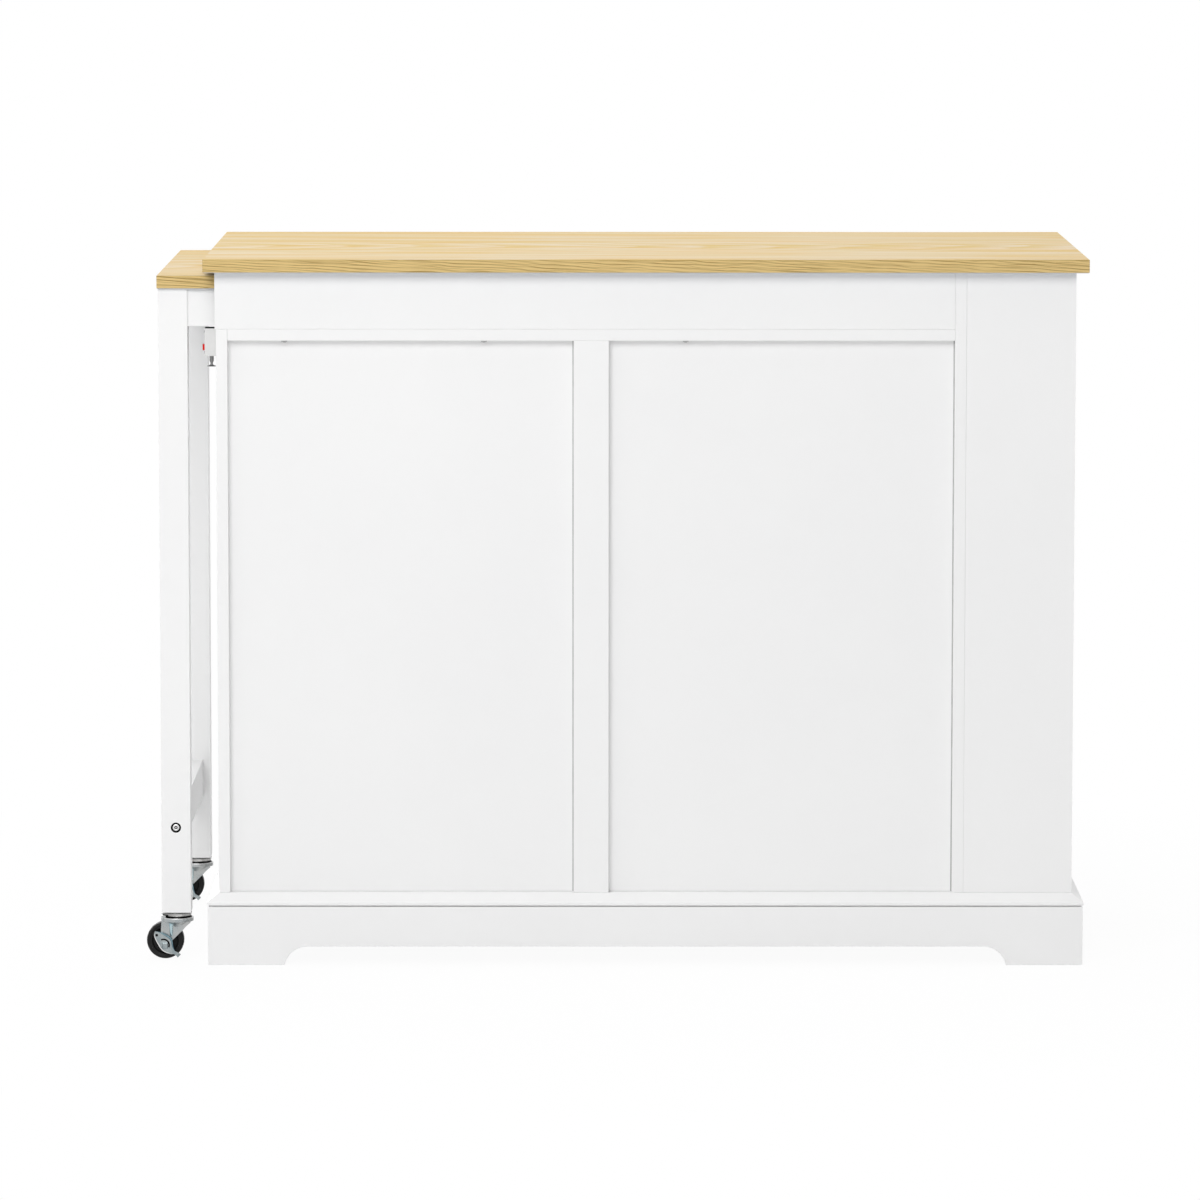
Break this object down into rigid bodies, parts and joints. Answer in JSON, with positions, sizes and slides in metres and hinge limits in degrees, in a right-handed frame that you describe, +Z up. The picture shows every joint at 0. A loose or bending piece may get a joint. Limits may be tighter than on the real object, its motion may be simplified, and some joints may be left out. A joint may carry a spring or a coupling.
{
  "type": "kitchen island with pull-out table",
  "caption": "White kitchen island with a wooden worktop, closed panelled back, inset doors, open end shelves and a wooden-topped table on castors that pulls out from one end.",
  "frame": {"origin": "on the floor, under the middle of the box round the whole island with its table pushed in", "axes": "+X along the island's length towards the open end shelves, +Y towards the doors, +Z up; the table pulls out along -X and the closed back faces -Y"},
  "size_m": [1.2316, 0.609, 0.926],
  "materials": {
    "white_board": "satin white paint",
    "oak": "light oak, satin lacquer",
    "zinc_steel": "bright zinc plate",
    "black_wheel": "moulded black rubber",
    "white_plastic": "moulded white plastic",
    "red_plastic": "moulded red plastic",
    "handle_metal": "satin nickel plate"
  },
  "bodies": {
    "cabinet": {"worktop": "oak", "bottom_board": "white_board", "plinth_back": "white_board", "plinth_front": "white_board", "plinth_left": "white_board", "plinth_right": "white_board", "left_side_panel": "white_board", "right_partition": "white_board", "centre_partition": "white_board", "deck_board": "white_board", "back_apron": "white_board", "front_apron": "white_board", "back_panel_left": "white_board", "back_panel_right": "white_board", "back_centre_stile": "white_board", "end_back_panel": "white_board", "end_front_panel": "white_board", "end_shelf_lower": "white_board", "end_shelf_middle": "white_board", "end_shelf_upper": "white_board", "cupboard_shelf_left": "white_board", "cupboard_shelf_right": "white_board", "shelf_brackets": "zinc_steel", "slide_outer_members": "zinc_steel", "lock_housing": "white_plastic", "hinge_frame_leaves": "zinc_steel", "door_catches": "white_plastic"},
    "table": {"table_top": "oak", "table_leg_back": "white_board", "table_leg_front": "white_board", "table_rail_back": "white_board", "table_rail_front": "white_board", "table_end_rail": "white_board", "table_inner_rail": "white_board", "table_stretcher": "white_board", "leg_bolts": "zinc_steel", "slide_inner_members": "zinc_steel", "castor_races": "zinc_steel"},
    "slide_middle": {"slide_middle_members": "zinc_steel", "slide_ball_cages": "zinc_steel"},
    "door_left": {"door_left": "white_board", "door_handle_left": "handle_metal", "hinge_door_leaves_left": "zinc_steel", "catch_plate_left": "zinc_steel"},
    "door_right": {"door_right": "white_board", "door_handle_right": "handle_metal", "hinge_door_leaves_right": "zinc_steel", "catch_plate_right": "zinc_steel"},
    "lock": {"lock_pin": "zinc_steel", "lock_tab": "red_plastic"},
    "castor_fork_back": {"castor_fork_back": "zinc_steel", "castor_axle_back": "zinc_steel"},
    "castor_wheel_back": {"castor_wheel_back": "black_wheel"},
    "castor_brake_back": {"castor_brake_back": "zinc_steel"},
    "castor_fork_front": {"castor_fork_front": "zinc_steel", "castor_axle_front": "zinc_steel"},
    "castor_wheel_front": {"castor_wheel_front": "black_wheel"},
    "castor_brake_front": {"castor_brake_front": "zinc_steel"}
  },
  "joints": [
    {"name": "table_slide", "type": "slide", "parent": "cabinet", "child": "table", "axis": [-1, 0, 0], "range_m": [0, 0.6]},
    {"name": "slide_middle_travel", "type": "slide", "parent": "cabinet", "child": "slide_middle", "axis": [-1, 0, 0], "range_m": [0, 0.3]},
    {"name": "door_left_hinge", "type": "hinge", "parent": "cabinet", "child": "door_left", "pos_m": [-0.50225, 0.2838, 0.4565], "axis": [0, 0, 1], "range_deg": [0, 110]},
    {"name": "door_right_hinge", "type": "hinge", "parent": "cabinet", "child": "door_right", "pos_m": [0.44175, 0.2838, 0.4565], "axis": [0, 0, -1], "range_deg": [0, 110]},
    {"name": "lock_travel", "type": "slide", "parent": "cabinet", "child": "lock", "axis": [0, 0, 1], "range_m": [0, 0.008]},
    {"name": "castor_swivel_back", "type": "hinge", "parent": "table", "child": "castor_fork_back", "pos_m": [-0.57575, -0.244, 0.055], "axis": [0, 0, 1], "continuous": true},
    {"name": "castor_roll_back", "type": "hinge", "parent": "castor_fork_back", "child": "castor_wheel_back", "pos_m": [-0.59125, -0.244, 0.0245], "axis": [0, 1, 0], "continuous": true},
    {"name": "castor_brake_tip_back", "type": "hinge", "parent": "castor_fork_back", "child": "castor_brake_back", "pos_m": [-0.59125, -0.244, 0.0245], "axis": [0, -1, 0], "range_deg": [0, 25]},
    {"name": "castor_swivel_front", "type": "hinge", "parent": "table", "child": "castor_fork_front", "pos_m": [-0.57575, 0.235, 0.055], "axis": [0, 0, 1], "continuous": true},
    {"name": "castor_roll_front", "type": "hinge", "parent": "castor_fork_front", "child": "castor_wheel_front", "pos_m": [-0.59125, 0.235, 0.0245], "axis": [0, 1, 0], "continuous": true},
    {"name": "castor_brake_tip_front", "type": "hinge", "parent": "castor_fork_front", "child": "castor_brake_front", "pos_m": [-0.59125, 0.235, 0.0245], "axis": [0, -1, 0], "range_deg": [0, 25]}
  ],
  "couplings": [
    {"joint": "slide_middle_travel", "follows": "table_slide", "ratio": 0.5}
  ]
}
